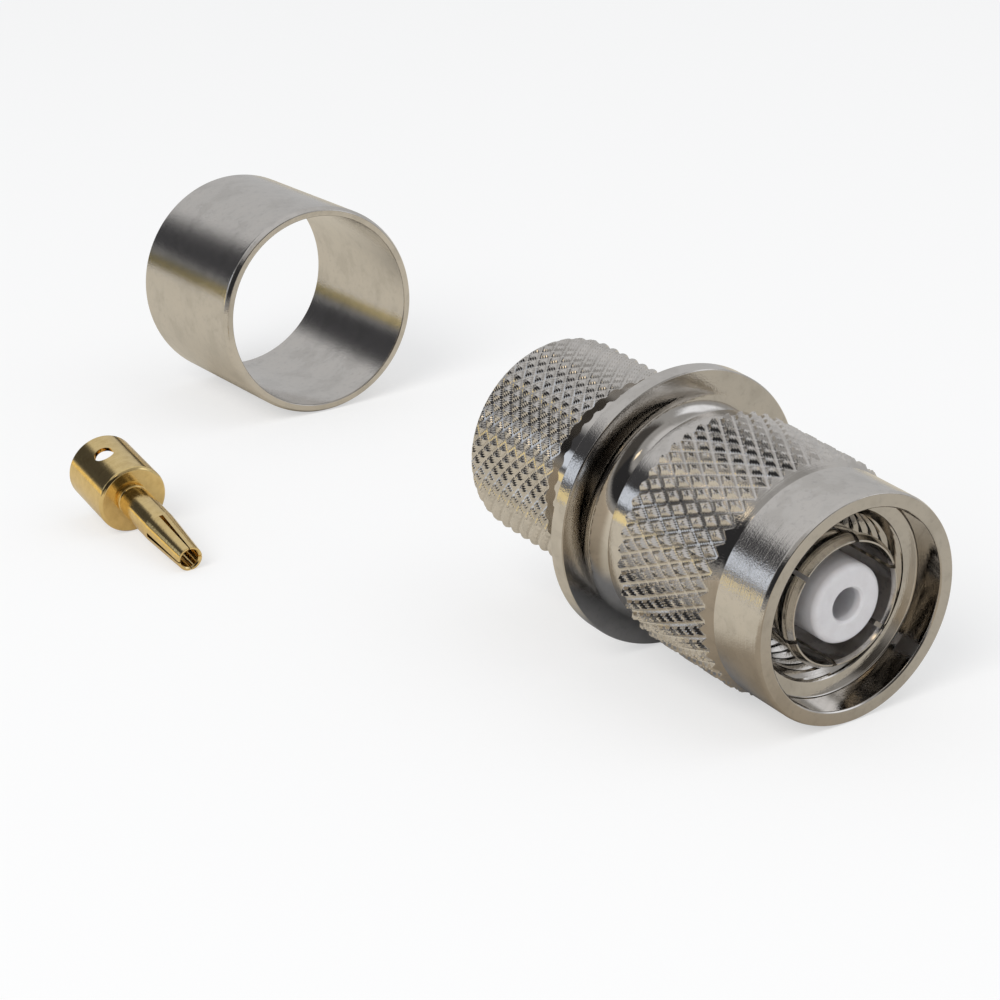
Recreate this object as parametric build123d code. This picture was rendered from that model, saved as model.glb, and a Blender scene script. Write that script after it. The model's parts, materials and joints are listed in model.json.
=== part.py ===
from build123d import *
from math import atan2, ceil, cos, degrees, floor, pi, radians, sin, tan
import os

# Reverse polarity threaded coaxial plug for a 15 mm low-loss cable, with its loose crimp
# ferrule and its loose centre contact laid beside it. Sizes are millimetres.
# Every piece is turned about +X with its nose towards +X. The plug's own x = 0 is the
# coupling nut's front face, the ferrule's is its front end, and the contact's is the front
# face of its solder cup. The pieces are then laid on the plane z = 0.

# Coupling nut, outside
NUT_LENGTH = 15.0
COLLAR_D = 15.0
COLLAR_LENGTH = 4.2
FACE_CHAMFER_LENGTH = 0.28
FACE_CHAMFER_DEPTH = 0.1
GROOVE_D = 14.4
GROOVE_WIDTH = 0.06
RUN_OUT_ANGLE = 32.0
KNURL_D = 15.7
KNURL_DEPTH = 0.26
KNURL_STARTS = 46
KNURL_ANGLE = 29.8
KNURL_FIRST_ROW = 0.64
KNURL_TURN = 5.08
KNURL_LEAN = 0.35
REAR_BAND_D = 14.7
REAR_BAND_LENGTH = 1.8
REAR_CHAMFER = 0.15

# Coupling nut, inside
MOUTH_D = 13.0
MOUTH_DEPTH = 2.13
MOUTH_EDGE = 0.1
THREAD_MOUTH_D = 11.2
SHOULDER_ANGLE = 16.0
THREAD_MINOR_D = 10.3
THREAD_END = 8.4
NUT_BORE_CLEARANCE = 0.15
NUT_BORE_CHAMFER = 0.3

# Crimp body, outside
BODY_FRONT = 9.0
BODY_FRONT_CHAMFER = 0.2
NECK_D = 12.6
FLANGE_GAP = 1.95
FLANGE_D = 18.6
FLANGE_THICKNESS = 1.25
FLANGE_FILLET = 1.9
FLANGE_EDGE = 0.08
STEM_LENGTH = 12.8
STEM_PLAIN_LENGTH = 3.9
STEM_PLAIN_D = 13.1
STEM_KNURL_D = 13.9
STEM_KNURL_DEPTH = 0.22
STEM_KNURL_STARTS = 36
STEM_KNURL_ANGLE = 48.7
STEM_END_ROUND = 0.86

# Crimp body, inside
CABLE_BORE_D = 11.8
CABLE_BORE_CHAMFER = 0.2
CABLE_STOP = 17.2
CUP_CAVITY_D = 9.8
SHOULDER_THICKNESS = 0.9
SHOULDER_D = 7.8

# Retaining ring and the float it gives the nut
RING_WIDTH = 0.7
RING_THICKNESS = 0.85
RING_GAP = 2.4
RING_PLACE = 11.35
RING_CLEARANCE = 0.05
RING_OUTER_CLEARANCE = 0.1
NUT_FLOAT = 0.4
NECK_GROOVE_DEPTH = 0.45

# Outer contact
FINGER_TIP = 1.12
FINGER_INNER_D = 7.6
FINGER_D = 8.05
BEAD_D = 8.56
BEAD_LENGTH = 1.4
FINGER_TIP_D = 8.06
TIP_FLARE = 0.38
TIP_INNER_CHAMFER = 0.13
SLOT_COUNT = 6
SLOT_WIDTH = 0.3
SLOT_END = 6.6
SLOT_TURN = 51.5
CONTACT_COLLAR_D = 8.6
CONTACT_COLLAR_LENGTH = 1.3

# Insulator
NOSE_FRONT = 0.92
NOSE_D = 5.16
NOSE_LENGTH = 5.2
NOSE_ROUND = 0.4
PIN_HOLE_D = 2.15
PIN_HOLE_DEPTH = 0.67
PIN_HOLE_CHAMFER = 0.14
CONTACT_BORE_CLEARANCE = 0.03
INSULATOR_CLEARANCE = 0.03

# Sealing gasket
GASKET_THICKNESS = 1.0
GASKET_D = 10.0
GASKET_BORE_CLEARANCE = 0.05

# Centre contact
CUP_D = 5.2
CUP_LENGTH = 5.75
CUP_BORE_D = 4.6
CUP_BORE_DEPTH = 5.0
CUP_FRONT_CHAMFER = 0.18
CUP_REAR_CHAMFER = 0.05
SOLDER_HOLE_D = 1.5
SOLDER_HOLE_PLACE = 3.3
SOLDER_HOLE_TURN = 18.8
WAIST_D = 2.2
WAIST_LENGTH = 0.55
TUBE_D = 2.44
TUBE_LENGTH = 9.74
TUBE_EDGE = 0.08
TAPER_START = 4.6
TIP_D = 1.82
SOCKET_D = 1.6
SOCKET_TIP_D = 1.3
SOCKET_DEPTH = 6.2
SOCKET_CHAMFER = 0.12
SOCKET_SLOT_START = 5.0
SOCKET_SLOT_WIDTH = 0.3
SOCKET_SLOT_TIP_WIDTH = 0.08
SOCKET_SLOT_TURN = 4.0

# Crimp ferrule
FERRULE_D = 16.9
FERRULE_BORE_D = 15.5
FERRULE_LENGTH = 15.0
FERRULE_EDGE_LENGTH = 0.42
FERRULE_EDGE_DEPTH = 0.22
FERRULE_BORE_EDGE = 0.1

# Where the loose pieces lie, measured from the point under the nut's front face
FERRULE_PLACE = (-74.4, 7.7)
FERRULE_YAW = -2.8
CONTACT_PLACE = (-59.7, -17.4)
CONTACT_YAW = -4.1

# A cutter reaches this far past the face it opens.
PAST = 1.0


def turned(corners, rounds=()):
    """Turns the outline of (x, radius) corners about X, after rounding the named corners."""
    outline = make_face(Polyline(*corners, close=True))
    for corner, radius in rounds:
        outline = fillet(outline.vertices().sort_by_distance(corner)[0], radius)
    return revolve(outline, Axis.X)


def knurled_drum(first_row, front, rear, crest_d, depth, starts, angle, turn=0.0, lean=0.0):
    """A solid drum from rear to front whose wall is a diamond knurl. Crests and groove
    crossings alternate on a grid of rows and columns, and each square folds along the groove
    through its low corners. Row 0 is at first_row and has a groove crossing at turn degrees
    from +Y. Each next row towards the front is turned by lean degrees more."""
    columns = 2 * starts
    row_pitch = pi * crest_d / columns / tan(radians(angle))
    last = ceil((front - first_row) / row_pitch)
    first = floor((rear - first_row) / row_pitch)

    def corner(row, column):
        radius = crest_d / 2 - (0 if (row + column) % 2 else depth)
        place = radians(turn + lean * row) + 2 * pi * column / columns
        return (first_row + row_pitch * row, radius * cos(place), radius * sin(place))

    def facet(*places):
        return Face(Wire.make_polygon([corner(*place) for place in places]))

    facets = []
    for row in range(first, last):
        for column in range(columns):
            low, side = (row, column), (row, column + 1)
            up, across = (row + 1, column), (row + 1, column + 1)
            if (row + column) % 2:
                facets += [facet(low, side, up), facet(side, across, up)]
            else:
                facets += [facet(low, side, across), facet(low, across, up)]
    for row in (first, last):
        facets.append(facet(*[(row, column) for column in range(columns)]))
    outer_r = crest_d / 2 + PAST
    return Solid(Shell(facets)) & turned([(rear, 0), (rear, outer_r), (front, outer_r),
                                          (front, 0)])


def radial_slot(turn, x_low, x_high, width, r_low, r_high):
    """A box that cuts one slot through a wall at the angle turn, counted from +Z towards -Y."""
    length, height = x_high - x_low, r_high - r_low
    box = Box(length, width, height, align=(Align.MIN, Align.CENTER, Align.MIN))
    return Rot(X=turn) * Pos(x_low, 0, r_low) * box


# The nut's places along x, all measured back from its front face
knurl_front = -(COLLAR_LENGTH + GROOVE_WIDTH)
knurl_rear = REAR_BAND_LENGTH - NUT_LENGTH
thread_minor_r = THREAD_MINOR_D / 2
shoulder_end = -(MOUTH_DEPTH + (MOUTH_D - THREAD_MOUTH_D) / 2 * tan(radians(SHOULDER_ANGLE)))
lead_in_end = shoulder_end - (THREAD_MOUTH_D - THREAD_MINOR_D) / 2
nut_bore_r = NECK_D / 2 + NUT_BORE_CLEARANCE

# The ring fits the nut's groove and floats in the neck's longer one.
ring_front = -RING_PLACE
ring_rear = ring_front - RING_WIDTH
neck_groove_r = NECK_D / 2 - NECK_GROOVE_DEPTH
ring_inner_r = neck_groove_r + RING_OUTER_CLEARANCE
ring_outer_r = ring_inner_r + RING_THICKNESS
nut_groove_r = ring_outer_r + RING_OUTER_CLEARANCE

# The body's places
flange_front = -(NUT_LENGTH + FLANGE_GAP)
flange_rear = flange_front - FLANGE_THICKNESS
stem_rear = flange_rear - STEM_LENGTH
stem_knurl_front = flange_rear - STEM_PLAIN_LENGTH
insulator_rear = -(BODY_FRONT + CONTACT_COLLAR_LENGTH + 1.2)
cup_cavity_front = insulator_rear - SHOULDER_THICKNESS


def make_coupling_nut():
    """The nut: smooth collar, grooved neck, coarse knurl and rear band outside; mouth,
    lead-in, thread bore, long rear bore and ring groove inside."""
    face_r = COLLAR_D / 2 - FACE_CHAMFER_DEPTH
    groove_r, band_r = GROOVE_D / 2, REAR_BAND_D / 2
    core_r = min(groove_r, KNURL_D / 2 - KNURL_DEPTH, band_r) - 0.1
    core = turned([
        (0, 0), (0, face_r), (-FACE_CHAMFER_LENGTH, COLLAR_D / 2), (-COLLAR_LENGTH, COLLAR_D / 2),
        (-COLLAR_LENGTH, groove_r), (knurl_front, groove_r), (knurl_front, core_r),
        (knurl_rear, core_r), (knurl_rear, band_r), (REAR_CHAMFER - NUT_LENGTH, band_r),
        (-NUT_LENGTH, band_r - REAR_CHAMFER), (-NUT_LENGTH, 0)])
    drum = knurled_drum(knurl_front - KNURL_FIRST_ROW, knurl_front, knurl_rear, KNURL_D,
                        KNURL_DEPTH, KNURL_STARTS, KNURL_ANGLE, KNURL_TURN, KNURL_LEAN)
    crest_rise = KNURL_D / 2 - groove_r + PAST
    crest_front = knurl_front - crest_rise / tan(radians(RUN_OUT_ANGLE))
    run_out = turned([
        (-COLLAR_LENGTH, groove_r), (knurl_front, groove_r),
        (crest_front, groove_r + crest_rise), (-COLLAR_LENGTH, groove_r + crest_rise)])
    groove_front, groove_rear = ring_front + RING_CLEARANCE, ring_rear - RING_CLEARANCE
    bore = turned([
        (PAST, 0), (PAST, MOUTH_D / 2 + MOUTH_EDGE), (0, MOUTH_D / 2 + MOUTH_EDGE),
        (-MOUTH_EDGE, MOUTH_D / 2), (-MOUTH_DEPTH, MOUTH_D / 2),
        (shoulder_end, THREAD_MOUTH_D / 2), (lead_in_end, thread_minor_r),
        (-THREAD_END, thread_minor_r), (-THREAD_END, nut_bore_r), (groove_front, nut_bore_r),
        (groove_front, nut_groove_r), (groove_rear, nut_groove_r), (groove_rear, nut_bore_r),
        (NUT_BORE_CHAMFER - NUT_LENGTH, nut_bore_r),
        (-NUT_LENGTH, nut_bore_r + NUT_BORE_CHAMFER),
        (-NUT_LENGTH - PAST, nut_bore_r + NUT_BORE_CHAMFER), (-NUT_LENGTH - PAST, 0)])
    return core + drum - run_out - bore


def make_crimp_body():
    """The body: neck with the ring's groove, thin flange on a wide hollow fillet, and the
    finely knurled crimp stem that the braid is crimped on."""
    neck_r, flange_r, plain_r = NECK_D / 2, FLANGE_D / 2, STEM_PLAIN_D / 2
    groove_front = ring_front + RING_CLEARANCE
    groove_rear = ring_rear - RING_CLEARANCE - NUT_FLOAT
    core_r = plain_r - 0.1
    core = turned([
        (-BODY_FRONT, 0), (-BODY_FRONT, neck_r - BODY_FRONT_CHAMFER),
        (-BODY_FRONT - BODY_FRONT_CHAMFER, neck_r), (groove_front, neck_r),
        (groove_front, neck_groove_r), (groove_rear, neck_groove_r), (groove_rear, neck_r),
        (flange_front, neck_r), (flange_front, flange_r - FLANGE_EDGE),
        (flange_front - FLANGE_EDGE, flange_r), (flange_rear + FLANGE_EDGE, flange_r),
        (flange_rear, flange_r - FLANGE_EDGE), (flange_rear, plain_r),
        (stem_knurl_front, plain_r), (stem_knurl_front, core_r), (stem_rear, core_r),
        (stem_rear, 0)], rounds=[((flange_front, neck_r), FLANGE_FILLET)])
    drum = knurled_drum(stem_knurl_front, stem_knurl_front, stem_rear, STEM_KNURL_D,
                        STEM_KNURL_DEPTH, STEM_KNURL_STARTS, STEM_KNURL_ANGLE)
    bore_r = CABLE_BORE_D / 2
    front_r = CONTACT_COLLAR_D / 2
    bore = turned([
        (stem_rear - PAST, 0), (stem_rear - PAST, bore_r + CABLE_BORE_CHAMFER),
        (stem_rear, bore_r + CABLE_BORE_CHAMFER), (stem_rear + CABLE_BORE_CHAMFER, bore_r),
        (-CABLE_STOP, bore_r), (-CABLE_STOP, CUP_CAVITY_D / 2),
        (cup_cavity_front, CUP_CAVITY_D / 2), (cup_cavity_front, SHOULDER_D / 2),
        (insulator_rear, SHOULDER_D / 2), (insulator_rear, front_r),
        (PAST - BODY_FRONT, front_r), (PAST - BODY_FRONT, 0)])
    return core + drum - stem_end_round() - bore


def stem_end_round():
    """The ring that rounds the stem's rear edge, where the knurl dies away."""
    outer_r = STEM_KNURL_D / 2 + 0.03
    centre_x, centre_r = stem_rear + STEM_END_ROUND, outer_r - STEM_END_ROUND
    middle = (centre_x - STEM_END_ROUND * cos(pi / 4), centre_r + STEM_END_ROUND * sin(pi / 4))
    arc = ThreePointArc((stem_rear, centre_r), middle, (centre_x, outer_r))
    rest = Polyline((centre_x, outer_r), (centre_x, outer_r + PAST),
                    (stem_rear - PAST, outer_r + PAST), (stem_rear - PAST, centre_r),
                    (stem_rear, centre_r))
    return revolve(make_face(arc + rest), Axis.X)


def make_outer_contact():
    """The spring sleeve: six slotted fingers with a bead at their tips, and a rear collar
    that is pressed into the body."""
    inner_r, finger_r, bead_r = FINGER_INNER_D / 2, FINGER_D / 2, BEAD_D / 2
    collar_rear = -(BODY_FRONT + CONTACT_COLLAR_LENGTH)
    sleeve = turned([
        (-FINGER_TIP - 2 * TIP_INNER_CHAMFER, inner_r),
        (-FINGER_TIP, inner_r + TIP_INNER_CHAMFER), (-FINGER_TIP, FINGER_TIP_D / 2),
        (-FINGER_TIP - TIP_FLARE, bead_r), (-FINGER_TIP - BEAD_LENGTH / 2, bead_r),
        (-FINGER_TIP - BEAD_LENGTH, finger_r), (-BODY_FRONT, finger_r),
        (-BODY_FRONT, CONTACT_COLLAR_D / 2 - RING_CLEARANCE / 2),
        (collar_rear, CONTACT_COLLAR_D / 2 - RING_CLEARANCE / 2), (collar_rear, inner_r)])
    for slot in range(SLOT_COUNT):
        turn = SLOT_TURN + 360 * slot / SLOT_COUNT
        sleeve -= radial_slot(turn, -SLOT_END, PAST - FINGER_TIP, SLOT_WIDTH,
                              inner_r - PAST, bead_r + PAST)
    return sleeve


def make_insulator():
    """The insulator: a bare nose with the pin's hole, a barrel that fills the sleeve, and a
    flange held between the sleeve's collar and the body's shoulder."""
    nose_r = NOSE_D / 2
    barrel_r = FINGER_INNER_D / 2 - INSULATOR_CLEARANCE
    flange_r = CONTACT_COLLAR_D / 2 - INSULATOR_CLEARANCE
    collar_rear = -(BODY_FRONT + CONTACT_COLLAR_LENGTH)
    hole_r = PIN_HOLE_D / 2
    bore_r = TUBE_D / 2 + CONTACT_BORE_CLEARANCE
    return turned([
        (-NOSE_FRONT, hole_r + PIN_HOLE_CHAMFER), (-NOSE_FRONT, nose_r),
        (-NOSE_FRONT - NOSE_LENGTH, nose_r), (-NOSE_FRONT - NOSE_LENGTH, barrel_r),
        (collar_rear, barrel_r), (collar_rear, flange_r), (insulator_rear, flange_r),
        (insulator_rear, bore_r), (-NOSE_FRONT - PIN_HOLE_DEPTH, bore_r),
        (-NOSE_FRONT - PIN_HOLE_DEPTH, hole_r), (-NOSE_FRONT - PIN_HOLE_CHAMFER, hole_r)],
        rounds=[((-NOSE_FRONT, nose_r), NOSE_ROUND)])


def make_retaining_ring():
    """The split spring ring that holds the nut on the neck."""
    ring = turned([(ring_front, ring_inner_r), (ring_front, ring_outer_r),
                   (ring_rear, ring_outer_r), (ring_rear, ring_inner_r)])
    return ring - radial_slot(0, ring_rear - PAST, ring_front + PAST, RING_GAP,
                              ring_inner_r - PAST, ring_outer_r + PAST)


def make_sealing_gasket():
    """The flat rubber ring that a mating jack presses against the body."""
    inner_r = FINGER_D / 2 + GASKET_BORE_CLEARANCE
    front = GASKET_THICKNESS - BODY_FRONT
    return turned([(-BODY_FRONT, inner_r), (front, inner_r),
                   (front, GASKET_D / 2), (-BODY_FRONT, GASKET_D / 2)])


def make_centre_contact():
    """The centre contact: a thin solder cup with its inspection hole, and a slotted socket
    tube whose four fingers close in towards the tip."""
    cup_r, tube_r, tip_r = CUP_D / 2, TUBE_D / 2, TIP_D / 2
    contact = turned([
        (-CUP_LENGTH, 0), (-CUP_LENGTH, cup_r - CUP_REAR_CHAMFER),
        (CUP_REAR_CHAMFER - CUP_LENGTH, cup_r), (-CUP_FRONT_CHAMFER, cup_r),
        (0, cup_r - CUP_FRONT_CHAMFER), (0, WAIST_D / 2), (WAIST_LENGTH, WAIST_D / 2),
        (WAIST_LENGTH, tube_r - TUBE_EDGE), (WAIST_LENGTH + TUBE_EDGE, tube_r),
        (TAPER_START, tube_r), (TUBE_LENGTH, tip_r), (TUBE_LENGTH, 0)])
    contact -= turned([(-CUP_LENGTH - PAST, 0), (-CUP_LENGTH - PAST, CUP_BORE_D / 2),
                       (CUP_BORE_DEPTH - CUP_LENGTH, CUP_BORE_D / 2),
                       (CUP_BORE_DEPTH - CUP_LENGTH, 0)])
    socket_rear = TUBE_LENGTH - SOCKET_DEPTH
    contact -= turned([
        (socket_rear, 0), (socket_rear, SOCKET_D / 2), (TAPER_START, SOCKET_D / 2),
        (TUBE_LENGTH - SOCKET_CHAMFER, SOCKET_TIP_D / 2),
        (TUBE_LENGTH, SOCKET_TIP_D / 2 + SOCKET_CHAMFER),
        (TUBE_LENGTH + PAST, SOCKET_TIP_D / 2 + SOCKET_CHAMFER), (TUBE_LENGTH + PAST, 0)])
    contact -= (Rot(X=SOLDER_HOLE_TURN) * Pos(-SOLDER_HOLE_PLACE, 0, 0)
                * Cylinder(SOLDER_HOLE_D / 2, CUP_D, align=(Align.CENTER, Align.CENTER, Align.MIN)))
    rear_half, tip_half = SOCKET_SLOT_WIDTH / 2, SOCKET_SLOT_TIP_WIDTH / 2
    wedge = make_face(Polyline(
        (SOCKET_SLOT_START, -rear_half), (SOCKET_SLOT_START, rear_half), (TUBE_LENGTH, tip_half),
        (TUBE_LENGTH + PAST, tip_half), (TUBE_LENGTH + PAST, -tip_half), (TUBE_LENGTH, -tip_half),
        close=True))
    blade = extrude(wedge, TUBE_D, both=True)
    for turn in (SOCKET_SLOT_TURN, SOCKET_SLOT_TURN + 90):
        contact -= Rot(X=turn) * blade
    return contact


def make_crimp_ferrule():
    """The soft tube that is slid over the braid and crimped on the stem."""
    outer_r, bore_r = FERRULE_D / 2, FERRULE_BORE_D / 2
    rounded_r = outer_r - FERRULE_EDGE_DEPTH
    return turned([
        (0, bore_r + FERRULE_BORE_EDGE), (0, rounded_r), (-FERRULE_EDGE_LENGTH, outer_r),
        (FERRULE_BORE_EDGE - FERRULE_LENGTH, outer_r),
        (-FERRULE_LENGTH, outer_r - FERRULE_BORE_EDGE),
        (-FERRULE_LENGTH, bore_r + FERRULE_BORE_EDGE),
        (FERRULE_BORE_EDGE - FERRULE_LENGTH, bore_r), (-FERRULE_BORE_EDGE, bore_r)])


def resting(place, yaw, rim_a, rim_b):
    """The Location that lays a turned piece on z = 0. It rests on two round rims, each an
    (x, radius) pair, so its nose is tilted until both rims' lowest points touch the plane."""
    nose_down = atan2(rim_b[1] - rim_a[1], rim_a[0] - rim_b[0])
    height = rim_a[0] * sin(nose_down) + rim_a[1] * cos(nose_down)
    return (Pos(place[0], place[1], height) * Rot(Z=yaw)
            * Rot(Y=degrees(nose_down)))


plug_rest = resting((0, 0), 0, (-FACE_CHAMFER_LENGTH, COLLAR_D / 2),
                    (flange_front - FLANGE_EDGE, FLANGE_D / 2))
ferrule_rest = resting(FERRULE_PLACE, FERRULE_YAW, (-FERRULE_EDGE_LENGTH, FERRULE_D / 2),
                       (FERRULE_BORE_EDGE - FERRULE_LENGTH, FERRULE_D / 2))
contact_rest = resting(CONTACT_PLACE, CONTACT_YAW, (TUBE_LENGTH, TIP_D / 2),
                       (-CUP_FRONT_CHAMFER, CUP_D / 2))

pieces = {
    "crimp_body": plug_rest * make_crimp_body(),
    "outer_contact": plug_rest * make_outer_contact(),
    "insulator": plug_rest * make_insulator(),
    "sealing_gasket": plug_rest * make_sealing_gasket(),
    "retaining_ring": plug_rest * make_retaining_ring(),
    "coupling_nut": plug_rest * make_coupling_nut(),
    "centre_contact": contact_rest * make_centre_contact(),
    "crimp_ferrule": ferrule_rest * make_crimp_ferrule(),
}

# The origin is on the plane under the middle of the box round all the pieces.
box = Compound(children=list(pieces.values())).bounding_box()
to_origin = Pos(-box.center().X, -box.center().Y, 0)

os.makedirs("parts", exist_ok=True)
for node, piece in pieces.items():
    solids = (to_origin * piece).solids()
    export_step(solids[0] if len(solids) == 1 else Compound(solids), f"parts/{node}.step")
    print(node, len(solids), "solid", round(piece.volume, 3), "mm3")
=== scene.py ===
# %% [markdown]
# This notebook dresses a threaded coaxial crimp plug, its loose crimp ferrule and its loose
# centre contact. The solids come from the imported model, which is the fixed frame. Nearly all
# the real pieces are turned on a lathe, so here nearly every surface is an outline spun about
# an axis, worked out with numpy, with its exact normals stored in the mesh. Bright plating
# shows every wrong normal, and the solids' own triangles are too coarse for it.

import bpy
import json
import numpy as np
from mathutils import Matrix

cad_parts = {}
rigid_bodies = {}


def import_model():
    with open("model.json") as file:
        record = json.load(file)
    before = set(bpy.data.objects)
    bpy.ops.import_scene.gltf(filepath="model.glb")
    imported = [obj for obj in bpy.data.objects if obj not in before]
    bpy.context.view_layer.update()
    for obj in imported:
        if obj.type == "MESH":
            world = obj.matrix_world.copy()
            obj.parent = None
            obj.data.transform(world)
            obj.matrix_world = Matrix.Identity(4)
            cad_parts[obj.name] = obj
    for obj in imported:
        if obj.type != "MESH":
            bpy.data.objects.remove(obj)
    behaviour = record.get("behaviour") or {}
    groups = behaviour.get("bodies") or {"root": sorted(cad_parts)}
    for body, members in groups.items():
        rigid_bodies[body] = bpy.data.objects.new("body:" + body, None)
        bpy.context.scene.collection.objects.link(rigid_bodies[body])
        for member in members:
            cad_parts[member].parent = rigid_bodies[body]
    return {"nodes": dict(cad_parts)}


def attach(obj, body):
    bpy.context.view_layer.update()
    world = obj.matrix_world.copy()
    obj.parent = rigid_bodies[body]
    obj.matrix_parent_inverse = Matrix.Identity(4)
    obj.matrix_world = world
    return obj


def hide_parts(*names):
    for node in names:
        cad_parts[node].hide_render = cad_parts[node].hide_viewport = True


for leftover in list(bpy.data.objects):
    bpy.data.objects.remove(leftover)
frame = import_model()
bpy.context.view_layer.update()

# %% [markdown]
# Each piece was drawn about its own X axis with its nose towards +X, and then laid down. A
# turned piece lies on two round rims, so its tilt follows from those rims: the line through
# their lowest points is level. The same rule is used here, so that every outline can be
# written in the piece's own millimetres.

# %% Where the three pieces lie
MM = 0.001


def lying(place, yaw, front_rim, rear_rim):
    """A 4x4 matrix from the piece's own millimetres to the frame in metres. The tilt t has
    tan t = (rear radius - front radius) / (front x - rear x), and the origin's height is
    x sin t + radius cos t of the front rim."""
    tilt = np.arctan2(rear_rim[1] - front_rim[1], front_rim[0] - rear_rim[0])
    height = front_rim[0] * np.sin(tilt) + front_rim[1] * np.cos(tilt)
    c, s = np.cos(np.radians(yaw)), np.sin(np.radians(yaw))
    turn = np.array([[c, -s, 0], [s, c, 0], [0, 0, 1.0]])
    ct, st = np.cos(tilt), np.sin(tilt)
    nose_down = np.array([[ct, 0, st], [0, 1, 0], [-st, 0, ct]])
    place_4x4 = np.eye(4)
    place_4x4[:3, :3] = turn @ nose_down * MM
    place_4x4[:3, 3] = np.array([place[0], place[1], height]) * MM
    return place_4x4


# The whole group is centred, which puts the plug's own origin here.
GROUP_SHIFT = np.array([44.49966, 1.55654])
plug_place = lying(GROUP_SHIFT, 0, (-0.28, 7.5), (-17.03, 9.3))
ferrule_place = lying(GROUP_SHIFT + (-74.4, 7.7), -2.8, (-0.42, 8.45), (-14.9, 8.45))
contact_place = lying(GROUP_SHIFT + (-59.7, -17.4), -4.1, (9.74, 0.91), (-0.18, 2.6))
print("plug nose at", plug_place[:3, 3])

# %% [markdown]
# The camera comes next, so that every later step can be looked at from the photograph's
# angle. It was found by fitting one camera to the outlines of all three pieces. A long lens
# keeps the far ferrule nearly as large as it really is beside the plug.

# %% Camera
CAMERA_PLACE = np.array([119.94, -102.85, 72.63])
CAMERA_ELEVATION = np.radians(19.99)
CAMERA_HEADING = np.array([-0.8377, 0.5462])
CAMERA_ROLL = 0.0573
FOCAL_PIXELS = 2884.0
PHOTO_PIXELS = 1000.0
SENSOR_MM = 36.0

forward = np.array([*CAMERA_HEADING * np.cos(CAMERA_ELEVATION), -np.sin(CAMERA_ELEVATION)])
right = np.array([CAMERA_HEADING[1], -CAMERA_HEADING[0], 0.0])
down = np.cross(forward, right)
rolled_right = np.cos(CAMERA_ROLL) * right + np.sin(CAMERA_ROLL) * down
rolled_down = np.cos(CAMERA_ROLL) * down - np.sin(CAMERA_ROLL) * right
camera = bpy.data.objects.new("camera", bpy.data.cameras.new("camera"))
bpy.context.scene.collection.objects.link(camera)
camera.data.sensor_width = SENSOR_MM
camera.data.lens = FOCAL_PIXELS / PHOTO_PIXELS * SENSOR_MM
camera.data.clip_start = 0.005
camera_place = CAMERA_PLACE + np.array([*GROUP_SHIFT, 0])
axes = np.column_stack([rolled_right, -rolled_down, -forward])
camera.matrix_world = Matrix.LocRotScale(camera_place * MM, Matrix(axes.tolist()), None)
bpy.context.scene.camera = camera
print("lens", round(camera.data.lens, 1), "mm")

# %% [markdown]
# A sharp corner in a turned part is never quite sharp: the tool and the plating leave a
# small radius, and that radius is what catches the light. So an outline is a list of
# corners, each with its radius, and this function replaces each corner by an arc. The normal
# comes with each point for free, because it is the arc's own direction turned by 90 degrees.


# %% Outlines with rounded corners
EDGE_RADIUS, EDGE_STEPS = 0.04, 4
ARC_SHARE = 0.48


def outline(corners, closed=True):
    """corners are rows of x, r, radius and steps, with the material on the left. A row of x
    and r alone gets the usual edge, and an arc takes at most ARC_SHARE of the straight on
    either side. With a the direction in, turned by an angle g, the arc starts
    radius * tan(g / 2) before the corner and its points are
    centre - side * radius * left(a turned by a share of g). Returns the points and their
    outward normals."""
    table = np.array([(*corner, EDGE_RADIUS, EDGE_STEPS)[:4] for corner in corners], float)
    place, radius, steps = table[:, :2], table[:, 2], table[:, 3].astype(int)
    into = place - np.roll(place, 1, axis=0)
    out = np.roll(place, -1, axis=0) - place
    if not closed:
        into[0], out[-1] = out[0], into[-1]
    into_length, out_length = np.hypot(*into.T), np.hypot(*out.T)
    a, b = into / into_length[:, None], out / out_length[:, None]
    angle = np.arctan2(a[:, 0] * b[:, 1] - a[:, 1] * b[:, 0], (a * b).sum(axis=1))
    half_tan = np.maximum(np.tan(np.abs(angle) / 2), 1e-9)
    reach = np.minimum(radius * half_tan, ARC_SHARE * np.minimum(into_length, out_length))
    radius, side = reach / half_tan, np.sign(angle)
    which = np.repeat(np.arange(len(table)), steps)
    step = np.arange(steps.sum()) - np.repeat(np.cumsum(steps) - steps, steps)
    share = step / np.maximum(steps[which] - 1, 1)
    heading = np.arctan2(a[:, 1], a[:, 0])[which] + angle[which] * share
    left_in = np.column_stack([-a[:, 1], a[:, 0]])
    centre = place - a * reach[:, None] + left_in * (side * radius)[:, None]
    left = np.column_stack([-np.sin(heading), np.cos(heading)])
    points = centre[which] - left * (side * radius)[which, None]
    if closed:
        return np.vstack([points, points[:1]]), np.vstack([-left, -left[:1]])
    return points, -left


def full_turn(columns, start=0.0):
    """Angles in degrees that go once round, with the first one repeated at the end."""
    return start + np.linspace(0, 360, columns + 1)


def on_axis(x, r, turn):
    """Points at x along the axis and r from it, turned from +Z towards -Y:
    (x, -r sin turn, r cos turn)."""
    turn = np.radians(turn)
    return np.stack(np.broadcast_arrays(x, -r * np.sin(turn), r * np.cos(turn)), axis=-1)


print("outline test", outline([(0, 1), (1, 1), (1, 2), (0, 2)])[0].shape)

# %% [markdown]
# A piece is put together from patches. A patch is a grid of points with a normal at each
# corner of each of its squares, and one number more per corner, which the materials use to
# tell the knurl's worn crests from its grooves. The patches of a piece share their border
# points, so welding equal points at the end closes the piece.


# %% Patches
def squares(grid):
    """The four corners of each square of a grid."""
    return np.stack([grid[:-1, :-1], grid[1:, :-1], grid[1:, 1:], grid[:-1, 1:]], axis=2)


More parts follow.
